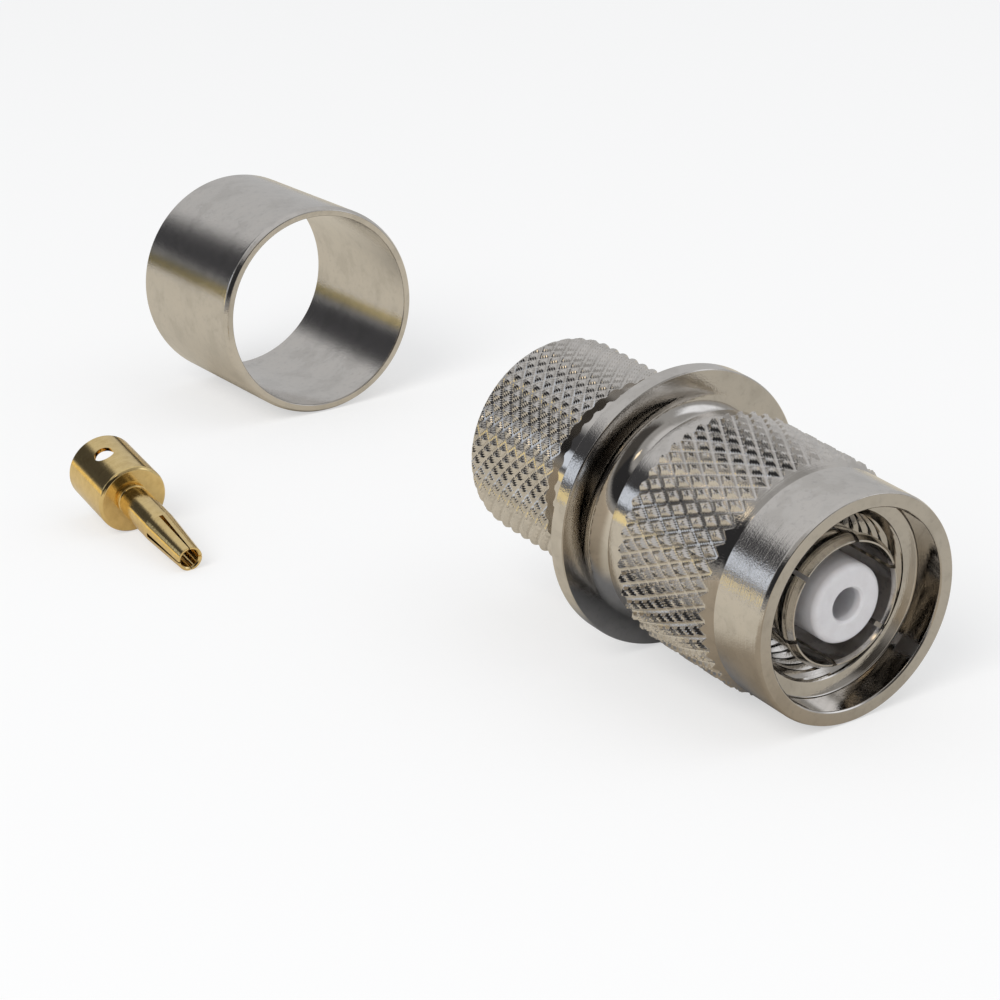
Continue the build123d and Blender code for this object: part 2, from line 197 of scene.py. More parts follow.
def oriented(triangles, facing, marks):
    """The triangles with their corners in the order that makes each face the way its normals
    point: the cross product of two edges has a positive share along them."""
    flat = np.cross(triangles[:, 1] - triangles[:, 0], triangles[:, 2] - triangles[:, 0])
    wrong = (flat * facing.sum(axis=1)).sum(axis=1) < 0
    order = np.where(wrong[:, None], [0, 2, 1], [0, 1, 2])
    row = np.arange(len(triangles))[:, None]
    return triangles[row, order], facing[row, order], marks[row, order]


def flat_normals(triangles, towards):
    """Each triangle's own normal, on the side that towards points to."""
    flat = np.cross(triangles[:, 1] - triangles[:, 0], triangles[:, 2] - triangles[:, 0])
    flat *= np.where((flat * towards).sum(axis=1, keepdims=True) < 0, -1, 1)
    flat /= np.maximum(np.linalg.norm(flat, axis=1, keepdims=True), 1e-12)
    return np.repeat(flat[:, None], 3, axis=1)


def outward(triangles):
    """The direction from the axis to the middle of each triangle."""
    return triangles.mean(axis=1) * (0, 1, 1)


def patch(points, normals=None, mark=None, split=None):
    """A grid as (triangles, normals, marks). Normals are given per point, or per band of
    squares where an edge between two bands is crisp. Without them each triangle is flat and
    faces away from the axis. split picks the other diagonal of a square."""
    corners = squares(points).reshape(-1, 4, 3)
    marks = squares(np.zeros(points.shape[:2]) if mark is None else mark).reshape(-1, 4)
    other = np.zeros(len(corners), bool) if split is None else split.reshape(-1)
    pick = np.where(other[:, None, None], [[0, 1, 3], [1, 2, 3]], [[0, 1, 2], [0, 2, 3]])
    row = np.arange(len(corners))[:, None, None]
    triangles, marks = corners[row, pick].reshape(-1, 3, 3), marks[row, pick].reshape(-1, 3)
    if normals is None:
        return oriented(triangles, flat_normals(triangles, outward(triangles)), marks)
    if len(normals) < len(points):
        facing = np.stack([normals[:, :-1]] * 2 + [normals[:, 1:]] * 2, axis=2)
    else:
        facing = squares(normals)
    return oriented(triangles, facing.reshape(-1, 4, 3)[row, pick].reshape(-1, 3, 3), marks)


def spun(points_normals, turns):
    """A spun outline: P(i, j) = on_axis(x_i, r_i, turn_j). turns may differ per row."""
    points, normals = points_normals
    turns = np.broadcast_to(turns, (len(points), np.shape(turns)[-1]))
    x, r = points[:, 0, None], points[:, 1, None]
    return patch(on_axis(x, r, turns), on_axis(normals[:, 0, None], normals[:, 1, None], turns))


def ring_join(fine, coarse, towards=None):
    """Triangles between a circle of 2n points and a circle of n points, three for each step
    of the coarse circle. They face along towards, or away from the axis."""
    a, b, c = fine[0:-1:2], fine[1::2], fine[2::2]
    d, e = coarse[:-1], coarse[1:]
    triangles = np.concatenate([np.stack(three, axis=1)
                                for three in ((a, b, d), (b, e, d), (b, c, e))])
    towards = outward(triangles) if towards is None else np.array(towards, float)
    return oriented(triangles, flat_normals(triangles, towards), np.zeros(triangles.shape[:2]))


def disc(outer, inner, towards):
    """A flat ring between two circles of as many points."""
    points = np.stack([outer, inner])
    return patch(points, np.broadcast_to(np.array(towards, float), points.shape))


# %% Make a mesh object of patches
WELD_STEPS_PER_MM, KEY_BITS = 1e4, 21


def make_piece(name, patches, place):
    """Welds points that agree to a ten-thousandth of a millimetre, drops the triangles that
    fold to nothing at a pole, and stores the exact normals."""
    triangles, facing, marks = map(np.concatenate, zip(*patches))
    points = triangles.reshape(-1, 3)
    key = np.round(points * WELD_STEPS_PER_MM).astype(np.int64) + 2 ** (KEY_BITS - 1)
    key = (key[:, 0] << 2 * KEY_BITS) + (key[:, 1] << KEY_BITS) + key[:, 2]
    _, first, index = np.unique(key, return_index=True, return_inverse=True)
    index = index.reshape(-1, 3)
    kept = (index != np.roll(index, 1, axis=1)).all(axis=1)
    index, facing, marks = index[kept], facing[kept], marks[kept]
    world = points[first] @ place[:3, :3].T + place[:3, 3]
    facing = facing.reshape(-1, 3) @ place[:3, :3].T
    facing /= np.linalg.norm(facing, axis=1, keepdims=True)
    mesh = bpy.data.meshes.new(name)
    mesh.vertices.add(len(world))
    mesh.vertices.foreach_set("co", world.ravel())
    mesh.loops.add(index.size)
    mesh.loops.foreach_set("vertex_index", index.ravel())
    mesh.polygons.add(len(index))
    mesh.polygons.foreach_set("loop_start", np.arange(0, index.size, 3))
    mesh.polygons.foreach_set("loop_total", np.full(len(index), 3))
    mesh.polygons.foreach_set("use_smooth", np.ones(len(index), bool))
    mesh.update(calc_edges=True)
    crest = mesh.attributes.new("crest", "FLOAT", "CORNER")
    crest.data.foreach_set("value", marks.ravel())
    mesh.normals_split_custom_set(facing)
    piece = bpy.data.objects.new(name, mesh)
    bpy.context.scene.collection.objects.link(piece)
    edges = np.sort(index[:, [0, 1, 1, 2, 2, 0]].reshape(-1, 2), axis=1)
    _, uses = np.unique(edges[:, 0] * len(world) + edges[:, 1], return_counts=True)
    print(name, len(index), "triangles,", int((uses != 2).sum()), "open or shared edges")
    return piece


# %% [markdown]
# The ferrule is the plainest piece: a tube parted off on a lathe, with a rounded front rim.
# It shows how a piece is made here: an outline of a few corners, one spun patch, one mesh.

# %% Crimp ferrule
ferrule = make_piece("ferrule_tube", [spun(outline([
    (-15, 7.75, 0.1, 5), (0, 7.75, 0.1, 5), (0, 8.23, 0.12, 5), (-0.42, 8.45, 0.5, 6),
    (-15, 8.45, 0.1, 5)]), full_turn(256))], ferrule_place)

# %% [markdown]
# A diamond knurl is rolled by two wheels whose lines lean opposite ways. On a grid of half
# pitches its crests and groove crossings alternate like the colours of a chessboard, and in
# each square of the board the height is simply the distance from one diagonal. This knurl is
# not rolled to full depth, so the height is held between a floor and a top: narrow grooves
# with bright bottoms, and tops with a dimple, which is a little deeper on some than on others.
# The two wheels don't lean by quite the same angle, so each row is turned a little from the
# last. The floor and the top are whole numbers of the grid's steps. Then the folds fall on the
# grid's lines, and a groove's edge is straight.


# %% Knurl height
DIMPLE, DIMPLE_SPREAD, DIMPLE_SLOPE = 0.26, 0.22, 3
DRAWN_ROWS = 400
LEAST_GAP, OFF_LINE, TOUCH = 1e-3, 1e-7, 1e-9


def knurl_height(x, turns, first_row, pitch, columns, turn, lean, floor, top, seed):
    """0 in the groove bottoms and 1 on the tops. With s and t the place inside a square of
    the board, the height is |s - t| on even squares and |s + t - 1| on odd ones. A top dips
    in its middle by a part of how far the point is above the top's edge. The points are taken
    OFF_LINE beside the board's lines, so that rounding can't send them both ways. Of the two
    sets of random numbers, only the second is used."""
    x, turns = x - OFF_LINE, turns + OFF_LINE
    w = (x - first_row) / pitch
    u = (turns - turn - lean * w) * columns / 360
    s, t = u - np.floor(u), w - np.floor(w)
    odd = (np.floor(u) + np.floor(w)) % 2 > 0.5
    height = np.where(odd, np.abs(s + t - 1), np.abs(s - t))
    uneven = np.random.default_rng(seed).uniform(-1, 1, (2, DRAWN_ROWS, columns))[1]
    near = (np.round(w).astype(int) % DRAWN_ROWS, np.round(u).astype(int) % columns)
    dimple = (DIMPLE + DIMPLE_SPREAD * uneven[near]) * np.clip(
        (height - top) * DIMPLE_SLOPE, 0, 1)
    return (np.clip(height, floor, top) - floor) / (top - floor) - dimple, odd


def knurl_rows(first_row, pitch, steps, front, rear):
    """Places along the axis from front to rear that fall on whole steps of the rows."""
    step = pitch / steps
    inside = np.arange(np.floor((front - first_row) / step), (rear - first_row) / step, -1)
    inside = first_row + step * inside
    inside = inside[(inside < front - LEAST_GAP) & (inside > rear + LEAST_GAP)]
    return np.concatenate([[front], inside, [rear]])[:, None]


NUT_FIRST, NUT_ROW, NUT_STEPS = -4.9, 0.9361, 6
NUT_COLUMNS, NUT_TURN, NUT_LEAN = 92, 1.17, 0.35
NUT_FLOOR, NUT_TOP, NUT_SEED = 1 / NUT_STEPS, 4 / NUT_STEPS, 7
NUT_ROOT, NUT_DEPTH = 7.59, 0.26
GROOVE_R, GROOVE_REAR, KNURL_REAR, RUN_OUT = 7.2, -4.26, -13.2, np.tan(np.radians(32))


def nut_knurl(x, steps):
    """The nut's knurl at the places x, with steps grid columns in each knurl column: points,
    marks of worn tops, and which squares take the other diagonal. The grid leans as the knurl
    does, so that the knurl's lines fall on the grid's edges."""
    turns = full_turn(NUT_COLUMNS * steps, NUT_TURN) + NUT_LEAN * (x - NUT_FIRST) / NUT_ROW
    height, odd = knurl_height(x, turns, NUT_FIRST, NUT_ROW, NUT_COLUMNS, NUT_TURN, NUT_LEAN,
                               NUT_FLOOR, NUT_TOP, NUT_SEED)
    cone = GROOVE_R + (GROOVE_REAR - x) * RUN_OUT
    r = np.minimum(NUT_ROOT + NUT_DEPTH * height, cone)
    return on_axis(x, r, turns), np.where(r < cone - TOUCH, height, 0), odd[:-1, :-1], turns


# %% [markdown]
# The nut's knurl runs out in front on a cone behind the collar, which cuts the diamonds into
# the saw teeth of the photograph: its radius is the smaller of the knurl's and the cone's.
# Behind, the knurl ends at a step. Inside is a real helical thread, 28 turns to the inch,
# whose first turn fades into the lead-in cone: there the larger radius wins.

# %% Coupling nut
FINE_END = NUT_FIRST - NUT_ROW / 2
fine_points, fine_worn, fine_split, fine_turns = nut_knurl(
    knurl_rows(NUT_FIRST, NUT_ROW, 2 * NUT_STEPS, GROOVE_REAR, FINE_END), 2 * NUT_STEPS)
rear_x = knurl_rows(NUT_FIRST, NUT_ROW, NUT_STEPS, FINE_END, KNURL_REAR)[1:]
nut_points, nut_worn, nut_split, nut_turns = nut_knurl(rear_x, NUT_STEPS)
coarse_turns = fine_turns[0, ::4]
coarse_step = coarse_turns[1] - coarse_turns[0]
rear_turns = coarse_turns + coarse_step * round((nut_turns[-1, 0] - coarse_turns[0]) / coarse_step)
print("knurl grids", fine_points.shape, nut_points.shape)

THREAD_PITCH, THREAD_MINOR, THREAD_START = 25.4 / 28, 5.15, 0.06
THREAD_FRONT, THREAD_REAR, THREAD_MOUTH, THREAD_ROWS = -2.388, -8.4, 5.6, 97
HALF_GROOVE, FLANK_SLOPE = 0.40, 3.1
thread_x = np.linspace(THREAD_REAR, THREAD_FRONT, THREAD_ROWS)[:, None]
from_root = np.abs((thread_x / THREAD_PITCH - coarse_turns / 360 - THREAD_START) % 1 - 0.5)
groove = np.clip((HALF_GROOVE - from_root) * FLANK_SLOPE, 0, 1)
lead_in = THREAD_MOUTH - (THREAD_FRONT - thread_x)
thread_r = np.maximum(THREAD_MINOR + (THREAD_MOUTH - THREAD_MINOR) * groove, lead_in)
thread_points = on_axis(thread_x, thread_r, coarse_turns)


def crisp_bands(points, side):
    """Normals of a grid round the axis, one row for each band: the cross product of the
    band's own slope along the axis and the smooth direction round it. side is 1 for a
    surface that faces away from the axis and -1 for a bore."""
    along = np.diff(points, axis=0)
    around = np.roll(points[:, :-1], -1, axis=1) - np.roll(points[:, :-1], 1, axis=1)
    around = np.concatenate([around, around[:, :1]], axis=1)[:-1]
    normals = np.cross(along, around)
    away = (normals * points[:-1] * (0, 1, 1)).sum(axis=-1, keepdims=True)
    return normals * np.sign(away) * side / np.linalg.norm(normals, axis=-1, keepdims=True)


COLLAR_R, COLLAR_REAR, MOUTH_R = 7.5, -4.2, 6.5
BAND_R, NUT_BORE, RING_SLOT_R = 7.35, 6.45, 6.9
inside_rear = outline([
    (KNURL_REAR, BAND_R, 0, 1), (-14.85, BAND_R), (-15, 7.2), (-15, 6.75), (-14.7, NUT_BORE),
    (-12.1, NUT_BORE), (-12.1, RING_SLOT_R), (-11.3, RING_SLOT_R), (-11.3, NUT_BORE),
    (THREAD_REAR, NUT_BORE, 0, 1)], closed=False)
front = outline([
    (THREAD_FRONT, THREAD_MOUTH, 0, 1), (-2.13, MOUTH_R, 0.15, 6), (-0.1, MOUTH_R, 0.1, 4),
    (0, 6.6, 0.1, 4), (0, 7.4, 0.08, 5), (-0.28, COLLAR_R, 0.5, 6),
    (COLLAR_REAR, COLLAR_R, 0.04, 5), (COLLAR_REAR, GROOVE_R, 0.03, 4),
    (GROOVE_REAR, GROOVE_R, 0, 1)], closed=False)
nut = make_piece("knurled_nut", [
    spun(inside_rear, coarse_turns),
    spun([part[:-2] for part in front], coarse_turns),
    ring_join(on_axis(*front[0][-2], fine_turns[0, ::2]), on_axis(*front[0][-3], coarse_turns)),
    ring_join(fine_points[0], on_axis(*front[0][-2], fine_turns[0, ::2])),
    patch(fine_points, mark=fine_worn, split=fine_split),
    ring_join(fine_points[-1], nut_points[0]),
    patch(nut_points, mark=nut_worn, split=nut_split),
    ring_join(nut_points[-1], on_axis(KNURL_REAR, BAND_R, rear_turns), (-1, 0, 0)),
    patch(thread_points, crisp_bands(thread_points, -1)),
    disc(on_axis(THREAD_REAR, NUT_BORE, coarse_turns), thread_points[0], (-1, 0, 0))], plug_place)

# %% [markdown]
# The crimp body is one turned part: the neck that the nut turns on, a wide hollow fillet that
# is polished like a mirror, a thin flange, and the stem, whose fine knurl grips the cable's
# braid. The stem's rear edge is rounded, so there the knurl dies away under an arc: again the
# smaller radius wins. The rows of the grid crowd together on the arc, where it falls steeply.

# %% Crimp body
STEM_COLUMNS, STEM_STEPS, STEM_ROW = 72, 5, 0.5328
STEM_FLOOR, STEM_TOP, STEM_SEED = 1 / STEM_STEPS, 1.0, 11
STEM_FRONT, STEM_REAR, STEM_ROOT, STEM_DEPTH = -22.1, -31.0, 6.77, 0.18
ROUND, ROUND_R, ROUND_ROWS, ROUND_GAP = 0.86, 6.98, (62, 68, 74, 80, 85, 90), 0.02
FOOT_R, FLANGE_R, NECK_R, SLOT_R = 6.55, 9.3, 6.3, 5.85
stem_turns = full_turn(STEM_COLUMNS * STEM_STEPS)
stem_x = knurl_rows(STEM_FRONT, STEM_ROW, STEM_STEPS, STEM_FRONT, STEM_REAR)[:-1, 0]
arc_x = STEM_REAR + ROUND * (1 - np.sin(np.radians(ROUND_ROWS)))
stem_x = np.concatenate([stem_x[stem_x > arc_x[0] + ROUND_GAP], arc_x])[:, None]
height, odd = knurl_height(stem_x, stem_turns, STEM_FRONT, STEM_ROW, STEM_COLUMNS, 0.0, 0.0,
                           STEM_FLOOR, STEM_TOP, STEM_SEED)
round_top = 1 - (1 - height) ** 2
past = np.clip((STEM_REAR + ROUND - stem_x) / ROUND, 0, 1)
rounding = ROUND_R - ROUND + ROUND * np.sqrt(1 - past ** 2)
stem_r = np.minimum(STEM_ROOT + STEM_DEPTH * round_top, rounding)
stem_points = on_axis(stem_x, stem_r, stem_turns)
worn = np.where(stem_r < rounding - TOUCH, height, 0)
body_turns = full_turn(STEM_COLUMNS * STEM_STEPS // 2)
body_outline = outline([
    (STEM_REAR, ROUND_R - ROUND, 0, 1), (STEM_REAR, 6.1), (-30.8, 5.9), (-17.2, 5.9),
    (-17.2, 4.9), (-12.4, 4.9), (-12.4, 3.9), (-11.5, 3.9), (-11.5, 4.3), (-9, 4.3), (-9, 6.1),
    (-9.2, NECK_R), (-11.3, NECK_R), (-11.3, SLOT_R), (-12.5, SLOT_R), (-12.5, NECK_R),
    (-16.95, NECK_R, 1.9, 28), (-16.95, 9.22, 0.03, 4), (-17.03, FLANGE_R, 0.06, 4),
    (-18.12, FLANGE_R, 0.06, 4), (-18.2, 9.22, 0.03, 4), (-18.2, FOOT_R, 0.12, 5),
    (STEM_FRONT, FOOT_R, 0, 1)], closed=False)
body = make_piece("crimp_stem_body", [
    spun(body_outline, body_turns),
    patch(stem_points, mark=worn, split=odd[:-1, :-1]),
    ring_join(stem_points[0], on_axis(STEM_FRONT, FOOT_R, body_turns), (1, 0, 0)),
    ring_join(stem_points[-1], on_axis(STEM_REAR, ROUND_R - ROUND, body_turns))], plug_place)

# %% [markdown]
# The sprung sleeve and the socket of the loose contact are both tubes with saw cuts. A cut
# tube is a spun outline whose columns of squares over a cut are left out. The columns are
# placed so that both sides of a cut are flat and parallel: at the radius r, half a cut of
# width w takes the angle asin(w / 2r). Then each cut gets its two side walls, ladders between
# the outer and the inner half of the outline, and its floor.


# %% Cut tubes
def cut_turns(count, steps, start, half_angle):
    """Angles per row: fingers of equal steps between cuts that take half_angle each side."""
    span = 360 / count
    share = np.linspace(0, 1, steps + 1)
    first = start + span * np.arange(count)[:, None]
    half = np.atleast_1d(half_angle)[:, None, None]
    turns = (first + half + (span - 2 * half) * share).reshape(len(half), -1)
    return np.hstack([turns, turns[:, :1] + 360])


def without(made, columns, rows, leave_out):
    """The patch without both triangles of each square that leave_out picks."""
    kept = ~np.repeat(np.broadcast_to(leave_out, (rows, columns)).reshape(-1), 2)
    return tuple(part[kept] for part in made)


def cut_walls(grid, count, steps):
    """Side walls and floors of the cuts in a grid that goes from a cut's floor over the tip
    and back. The wall's ladder joins row m to row -1 - m."""
    half = len(grid) // 2
    made = []
    for cut in range(count):
        low, high = (cut + 1) * (steps + 1) - 1, (cut + 1) * (steps + 1)
        across = grid[0, high] - grid[0, low]
        for column, sign in ((low, 1), (high, -1)):
            ladder = np.stack([grid[:half, column], grid[::-1][:half, column]], axis=1)
            made.append(patch(ladder, np.broadcast_to(sign * across, ladder.shape)))
        floor = np.stack([grid[[0, 0], [low, high]], grid[[-1, -1], [low, high]]])
        made.append(patch(floor, np.broadcast_to([1.0, 0, 0], floor.shape)))
    return made


def both_halves(inner, outer):
    """One outline of an inner and an outer half that meet at the tip."""
    return [np.vstack(pair) for pair in zip(inner, outer)]


def cut_tube(fingers, turns, count, steps):
    """The patches of a tube with saw cuts: its fingers first, then the walls of the cuts."""
    points, columns = fingers[0], turns.shape[1] - 1
    over_cut = np.arange(1, columns + 1) % (steps + 1) == 0
    grid = on_axis(points[:, :1], points[:, 1:], turns)
    return [without(spun(fingers, turns), columns, len(points) - 1, over_cut),
            *cut_walls(grid, count, steps)]


# %% [markdown]
# The outer contact has six fingers with a bead at their tips, which press against the inside
# of the jack. The outline's inner half gets as many points as its outer half, so that the
# ladders fit.

# %% Outer contact
SLEEVE_CUTS, SLEEVE_STEPS, SLEEVE_START, CUT_END, CUT_WIDTH = 6, 24, 51.5, -6.6, 0.3
SLEEVE_R, SLEEVE_BORE, SLEEVE_TIP, TIP_R, BEAD_R = 4.025, 3.8, -1.12, 3.98, 4.28


def sleeve_turns(radius):
    """Columns of the sleeve, with cuts as wide as CUT_WIDTH at each of these radii."""
    half_angle = np.degrees(np.arcsin(CUT_WIDTH / 2 / radius))
    return cut_turns(SLEEVE_CUTS, SLEEVE_STEPS, SLEEVE_START, half_angle)


outer_half = outline([
    (SLEEVE_TIP, TIP_R, 0, 1), (SLEEVE_TIP, 4.03, 0.05, 4), (-1.5, BEAD_R, 0.2, 4),
    (-1.82, BEAD_R, 0.3, 5), (-2.52, SLEEVE_R, 0.5, 5), (CUT_END, SLEEVE_R, 0, 1)], closed=False)
inner_half = outline([(x, SLEEVE_BORE, 0, 1) for x in np.linspace(CUT_END, -1.9, 12)] + [
    (-1.38, SLEEVE_BORE, 0.1, 4), (SLEEVE_TIP, 3.93, 0.03, 3), (SLEEVE_TIP, TIP_R, 0, 1)],
    closed=False)
fingers = both_halves(inner_half, outer_half)
finger_patch, *walls = cut_tube(fingers, sleeve_turns(fingers[0][:, 1]), SLEEVE_CUTS, SLEEVE_STEPS)
rear_ring = outline([
    (CUT_END, SLEEVE_R, 0, 1), (-9, SLEEVE_R), (-9, 4.275), (-10.3, 4.275), (-10.3, SLEEVE_BORE),
    (CUT_END, SLEEVE_BORE, 0, 1)], closed=False)
ring_turns = sleeve_turns(np.clip(rear_ring[0][:, 1], SLEEVE_BORE, SLEEVE_R))
sleeve = make_piece("spring_sleeve", [finger_patch, spun(rear_ring, ring_turns), *walls],
                    plug_place)

# %% [markdown]
# The insulator is turned from white fluoropolymer, which is waxy and lets light in a little
# way. Its nose has a soft round edge, and the hole for the jack's pin opens into the wider
# bore of the contact. The gasket is a flat moulded ring, mostly hidden behind the thread.

# %% Insulator and gasket
CONTACT_BORE, PIN_HOLE_R, NOSE_X, NOSE_R = 1.25, 1.075, -0.92, 2.58
insulator = make_piece("insulator_bush", [spun(outline([
    (-11.5, CONTACT_BORE), (-1.59, CONTACT_BORE), (-1.59, PIN_HOLE_R),
    (-1.06, PIN_HOLE_R, 0.08, 5), (NOSE_X, 1.215, 0.08, 5), (NOSE_X, NOSE_R, 0.42, 10),
    (-6.12, NOSE_R), (-6.12, 3.77), (-10.3, 3.77), (-10.3, 4.27), (-11.5, 4.27)]),
    full_turn(144))], plug_place)
gasket = make_piece("face_gasket", [spun(outline([
    (-9, 4.075, 0.1, 5), (-8, 4.075, 0.2, 6), (-8, 5, 0.2, 6), (-9, 5, 0.1, 5)]),
    full_turn(128))], plug_place)

# %% [markdown]
# The centre contact lies loose. Its thin cup takes the cable's inner conductor, which is
# soldered through the small round hole, and its socket is cut in four and squeezed towards
# the tip so that it grips the pin. A round hole in a round wall is made by leaving a window
# out of the grid and filling it with rings that go from the window's edge to the circle.

# %% Pierced wall
WINDOW_MARGIN = 7


def window_edge(grid):
    """The border points of a grid, once round."""
    return np.concatenate([grid[0, :-1], grid[:-1, -1], grid[-1, :0:-1], grid[:0:-1, 0]])


def pierced(x, turns, r, hole_x, hole_turn, hole_r, side, rings=3):
    """A band of the cylinder of radius r with a round hole, in a window that is WINDOW_MARGIN
    degrees wider on either side. Round the hole, ring k is a share of the way from the
    window's edge to the circle x = hole_x + hole_r cos a, with sin(turn - hole_turn) =
    hole_r sin a / r. Returns the patches and the circle."""
    reach = np.degrees(np.arcsin(hole_r / r)) + WINDOW_MARGIN
    columns = np.flatnonzero(np.abs(turns - hole_turn) < reach)
    low, high = columns[0], columns[-1]
    grid_turns = np.broadcast_to(turns, (len(x), len(turns)))
    made = patch(on_axis(x[:, None], r, grid_turns), side * on_axis(0, 1, grid_turns))
    leave_out = np.zeros((len(x) - 1, len(turns) - 1), bool)
    leave_out[1:-1, low:high] = True
    made = without(made, len(turns) - 1, len(x) - 1, leave_out)
    flat = np.stack(np.meshgrid(x[1:-1], turns[low:high + 1], indexing="ij"), axis=-1)
    edge = window_edge(flat)
    edge = np.vstack([edge, edge[:1]])
    angle = np.arctan2(r * np.sin(np.radians(edge[:, 1] - hole_turn)), edge[:, 0] - hole_x)
    circle = np.column_stack([hole_x + hole_r * np.cos(angle), hole_turn + np.degrees(
        np.arcsin(hole_r * np.sin(angle) / r))])
    share = np.linspace(0, 1, rings + 1)[:, None, None]
    between = edge * (1 - share) + circle * share
    rim = patch(on_axis(between[..., 0], r, between[..., 1]),
                side * on_axis(0, 1, between[..., 1]))
    return [made, rim], on_axis(circle[:, 0], r, circle[:, 1])


# %% Centre contact
CONTACT_CUTS, CONTACT_STEPS, CONTACT_START = 4, 15, -86.0
HOLE_X, HOLE_TURN, HOLE_R = -3.3, 18.8, 0.75
SOCKET_CUT, SOCKET_TIP_CUT, SOCKET_CUT_X, TIP_X = 0.3, 0.08, 5.0, 9.74
CUT_COLUMNS_FROM, PLAIN_HALF, LEAST_R = 3.6, 2.8, 0.6
TUBE_R, TUBE_BORE, CUT_R, CUT_BORE, TIP_MIDDLE = 1.22, 0.8, 1.198, 0.788, 0.84
CUP_R, CUP_BORE, CUP_REAR = 2.6, 2.3, -5.75
WINDOW_HALF, WINDOW_ROWS = 1.15, 12


def contact_turns(points):
    """Columns of the contact: over the cuts their own narrowing width, elsewhere fixed."""
    share = np.clip((points[:, 0] - SOCKET_CUT_X) / (TIP_X - SOCKET_CUT_X), 0, 1)
    width = SOCKET_CUT + (SOCKET_TIP_CUT - SOCKET_CUT) * share
    half = np.degrees(np.arcsin(width / 2 / np.maximum(points[:, 1], LEAST_R)))
    half = np.where(points[:, 0] > CUT_COLUMNS_FROM, half, PLAIN_HALF)
    return cut_turns(CONTACT_CUTS, CONTACT_STEPS, CONTACT_START, half)


outer_half = outline([
    (TIP_X, TIP_MIDDLE, 0, 1), (TIP_X, 0.91, 0.04, 4), (SOCKET_CUT_X, CUT_R, 0, 1)],
    closed=False)
inner_half = outline([
    (SOCKET_CUT_X, CUT_BORE, 0, 1), (9.62, 0.65, 0.1, 2), (TIP_X, 0.77, 0.05, 2),
    (TIP_X, TIP_MIDDLE, 0, 1)], closed=False)
fingers = both_halves(inner_half, outer_half)
window = np.linspace(HOLE_X - WINDOW_HALF, HOLE_X + WINDOW_HALF, WINDOW_ROWS)
parts = [outline(corners, closed=False) for corners in (
    [(3.54, 0, 0, 1), (3.54, TUBE_BORE), (4.6, TUBE_BORE, 0.3, 3),
     (SOCKET_CUT_X, CUT_BORE, 0, 1)],
    [(SOCKET_CUT_X, CUT_R, 0, 1), (4.6, TUBE_R, 1, 3), (0.63, TUBE_R, 0.05, 4),
     (0.55, 1.14, 0.03, 3), (0.55, 1.1, 0.02, 3), (0, 1.1, 0.1, 4), (0, 2.42, 0.08, 5),
     (-0.18, CUP_R, 0.3, 6), (window[-1], CUP_R, 0, 1)],
    [(window[0], CUP_R, 0, 1), (-5.7, CUP_R, 0.05, 4), (CUP_REAR, 2.55, 0.02, 3),
     (CUP_REAR, CUP_BORE, 0.05, 4), (window[0], CUP_BORE, 0, 1)],
    [(window[-1], CUP_BORE, 0, 1), (-0.75, CUP_BORE, 0.15, 5), (-0.75, 0, 0, 1)])]
cup_turns = contact_turns(np.array([[0.0, CUP_R]]))[0]
(outer_wall, outer_circle), (inner_wall, inner_circle) = (
    pierced(window[::-1], cup_turns, radius, HOLE_X, HOLE_TURN, HOLE_R, side)
    for radius, side in ((CUP_R, 1), (CUP_BORE, -1)))
hole_middle = on_axis(HOLE_X, (CUP_R + CUP_BORE) / 2, HOLE_TURN)
hole_wall = np.stack([outer_circle, inner_circle])
contact = make_piece("socket_contact", [
    *(spun(part, contact_turns(part[0])) for part in parts), *outer_wall, *inner_wall,
    patch(hole_wall, hole_middle - hole_wall),
    *cut_tube(fingers, contact_turns(fingers[0]), CONTACT_CUTS, CONTACT_STEPS)], contact_place)

# %% Who rides on what
for piece, node, rides_on, slot in (
        (nut, "coupling_nut", "nut", "nickel"), (body, "crimp_body", "plug", "nickel"),
        (sleeve, "outer_contact", "plug", "nickel"), (ferrule, "crimp_ferrule", "plug", "nickel"),
        (insulator, "insulator", "plug", "fluoropolymer"),
        (gasket, "sealing_gasket", "plug", "silicone"),
        (contact, "centre_contact", "plug", "gold")):
    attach(piece, rides_on)
    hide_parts(node)

# %% [markdown]
# Every finish below is a formula over the surface, so shader nodes are written as Python
# expressions. One small class wraps an output socket. Arithmetic on it adds Math nodes, and
# one method adds any other node.


